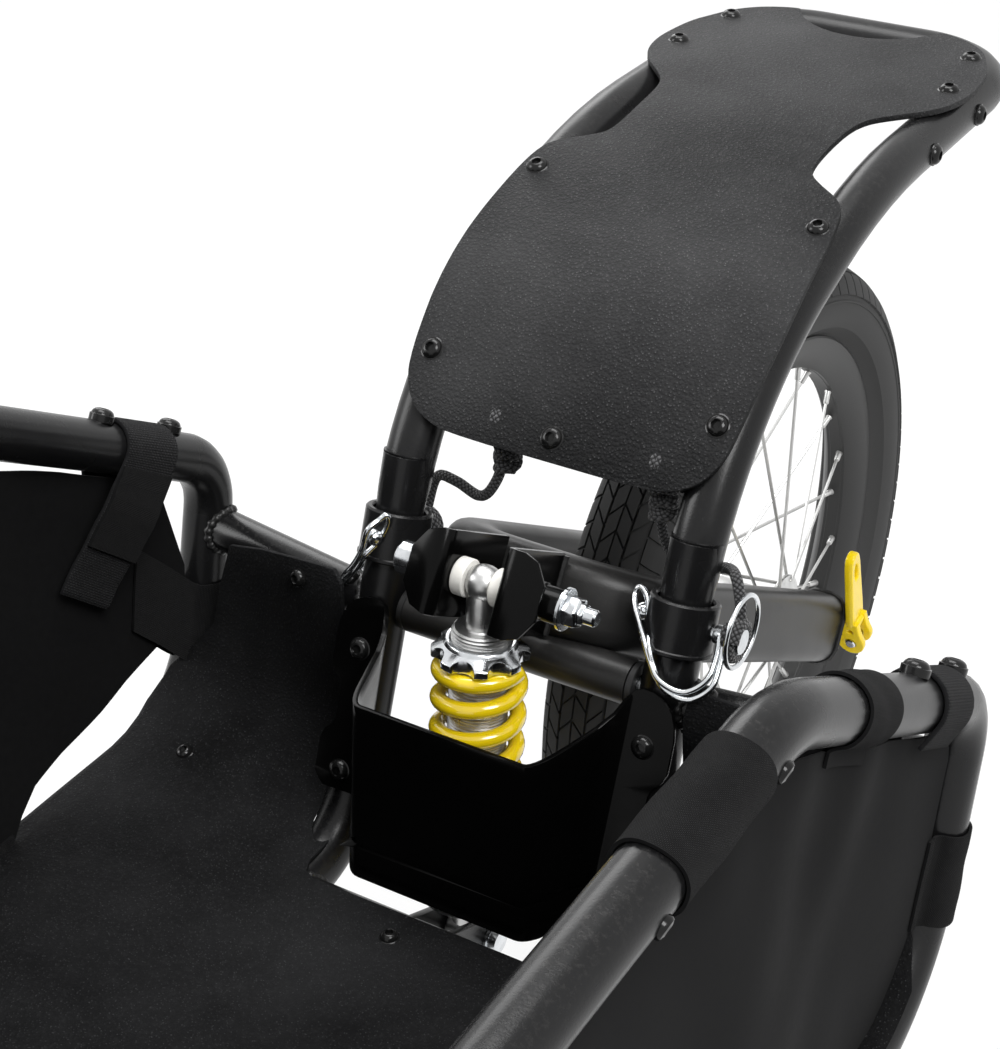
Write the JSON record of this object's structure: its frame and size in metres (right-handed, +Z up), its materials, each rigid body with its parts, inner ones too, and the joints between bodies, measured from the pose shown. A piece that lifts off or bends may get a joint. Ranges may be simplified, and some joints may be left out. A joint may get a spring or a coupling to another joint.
{
  "type": "single wheel touring trailer",
  "caption": "Low cycle trailer: looped cargo sides, sprung rear wheel under a lift-off fender, steering yoke and folding stand.",
  "frame": {"origin": "centre of the bounding box, on the ground that the wheel and the stand's feet rest on", "axes": "+Z up, +Y towards the rear wheel, -Y towards the towing bicycle, +X the side of the wheel's quick-release lever"},
  "size_m": [0.442, 1.615, 0.5127],
  "materials": {
    "frame_paint": "satin black powder coat",
    "gloss_paint": "gloss black",
    "grained_sheet": "fine leather-like grain, black",
    "floor_plastic": "matt black sheet",
    "black_plastic": "matt black",
    "zinc": "bright zinc plated",
    "shock_silver": "worn silver, threaded",
    "spring_yellow": "gloss yellow",
    "lever_yellow": "yellow",
    "nylon": "off-white nylon",
    "stand_rubber": "black rubber",
    "tyre_rubber": "black tread and wall",
    "rim_black": "gloss black",
    "spoke_steel": "bare steel spokes and hub",
    "bag_fabric": "black coated fabric and webbing",
    "cord_black": "black braid"
  },
  "bodies": {
    "frame": {"side_loop_left": "frame_paint", "side_loop_right": "frame_paint", "upright_left": "frame_paint", "upright_right": "frame_paint", "collar_left": "frame_paint", "collar_right": "frame_paint", "rear_brace_left": "frame_paint", "rear_brace_right": "frame_paint", "side_panel_left": "bag_fabric", "side_panel_right": "bag_fabric", "corner_strap_left": "bag_fabric", "corner_strap_right": "bag_fabric", "lock_pin_left": "zinc", "lock_pin_right": "zinc", "lanyard_left": "cord_black", "lanyard_right": "cord_black", "stand_clamp_left": "black_plastic", "stand_clamp_right": "black_plastic", "floor_sheet": "floor_plastic", "lower_cross": "frame_paint", "lower_bolt": "zinc", "spring_guard": "gloss_paint", "front_cross": "frame_paint", "head_tube": "frame_paint", "fender_hoop": "frame_paint", "fender_brace": "frame_paint", "fender_panel": "grained_sheet", "pivot_pin": "zinc"},
    "swing_arm": {"swing_arm": "frame_paint", "shock_bolt": "zinc", "skewer": "zinc", "ear_left": "frame_paint", "ear_right": "frame_paint", "shock_bushing_left": "nylon", "shock_bushing_right": "nylon", "pivot_bushing_left": "nylon", "pivot_bushing_right": "nylon"},
    "wheel": {"tyre": "tyre_rubber", "rim": "rim_black", "wheel_hub": "spoke_steel"},
    "qr_lever": {"qr_lever": "lever_yellow"},
    "shock_lower": {"shock_shaft": "shock_silver"},
    "shock_upper": {"shock_body": "shock_silver", "preload_ring": "zinc", "spring": "spring_yellow"},
    "stand": {"stand_legs": "frame_paint", "stand_foot_left": "stand_rubber", "stand_foot_right": "stand_rubber"},
    "yoke": {"yoke_crown": "frame_paint", "steering_pin": "zinc", "yoke_tube_left": "frame_paint", "yoke_tube_right": "frame_paint", "hitch_left": "frame_paint", "hitch_right": "frame_paint"},
    "hitch_lever_left": {"hitch_lever_left": "lever_yellow"},
    "hitch_lever_right": {"hitch_lever_right": "lever_yellow"},
    "pin_bail_left": {"pin_bail_left": "zinc"},
    "pin_bail_right": {"pin_bail_right": "zinc"}
  },
  "joints": [
    {"name": "arm_swing", "type": "hinge", "parent": "frame", "child": "swing_arm", "pos_m": [0, 0.35696, 0.31862], "axis": [1, 0, 0], "range_deg": [0, 8], "stiffness_Nm_per_rad": 147, "springref_deg": -6.88},
    {"name": "wheel_spin", "type": "hinge", "parent": "swing_arm", "child": "wheel", "pos_m": [0, 0.6055, 0.202], "axis": [1, 0, 0], "continuous": true},
    {"name": "qr_lever_turn", "type": "hinge", "parent": "swing_arm", "child": "qr_lever", "pos_m": [0.0735, 0.6055, 0.202], "axis": [0, 0.9659, 0.2588], "range_deg": [0, 160]},
    {"name": "shock_tilt", "type": "hinge", "parent": "frame", "child": "shock_lower", "pos_m": [0, 0.30498, 0.18196], "axis": [1, 0, 0], "range_deg": [-0.2, 2.4]},
    {"name": "shock_stroke", "type": "slide", "parent": "shock_lower", "child": "shock_upper", "axis": [0, 0.1045, 0.9945], "range_m": [-0.0058, 0.0005], "deforming": ["spring"]},
    {"name": "stand_fold", "type": "hinge", "parent": "frame", "child": "stand", "pos_m": [0, -0.1245, 0.172], "axis": [1, 0, 0], "range_deg": [0, 86]},
    {"name": "yoke_steer", "type": "hinge", "parent": "frame", "child": "yoke", "pos_m": [0, -0.3195, 0.2], "axis": [0, 0, 1], "range_deg": [-55, 55]},
    {"name": "hitch_lever_left_turn", "type": "hinge", "parent": "yoke", "child": "hitch_lever_left", "pos_m": [0.098, -0.7545, 0.34], "axis": [1, 0, 0], "range_deg": [0, 85]},
    {"name": "hitch_lever_right_turn", "type": "hinge", "parent": "yoke", "child": "hitch_lever_right", "pos_m": [-0.098, -0.7545, 0.34], "axis": [1, 0, 0], "range_deg": [0, 85]},
    {"name": "pin_bail_left_swing", "type": "hinge", "parent": "frame", "child": "pin_bail_left", "pos_m": [0.105, 0.36926, 0.35078], "axis": [0, 0.3535, 0.9354], "range_deg": [0, 60]},
    {"name": "pin_bail_right_swing", "type": "hinge", "parent": "frame", "child": "pin_bail_right", "pos_m": [-0.077, 0.39545, 0.34088], "axis": [0, -0.3535, -0.9354], "range_deg": [0, 60]}
  ],
  "couplings": [
    {"joint": "shock_tilt", "follows": "arm_swing", "ratio": 0.254},
    {"joint": "shock_stroke", "follows": "arm_swing", "m_per_rad": -0.0395}
  ]
}
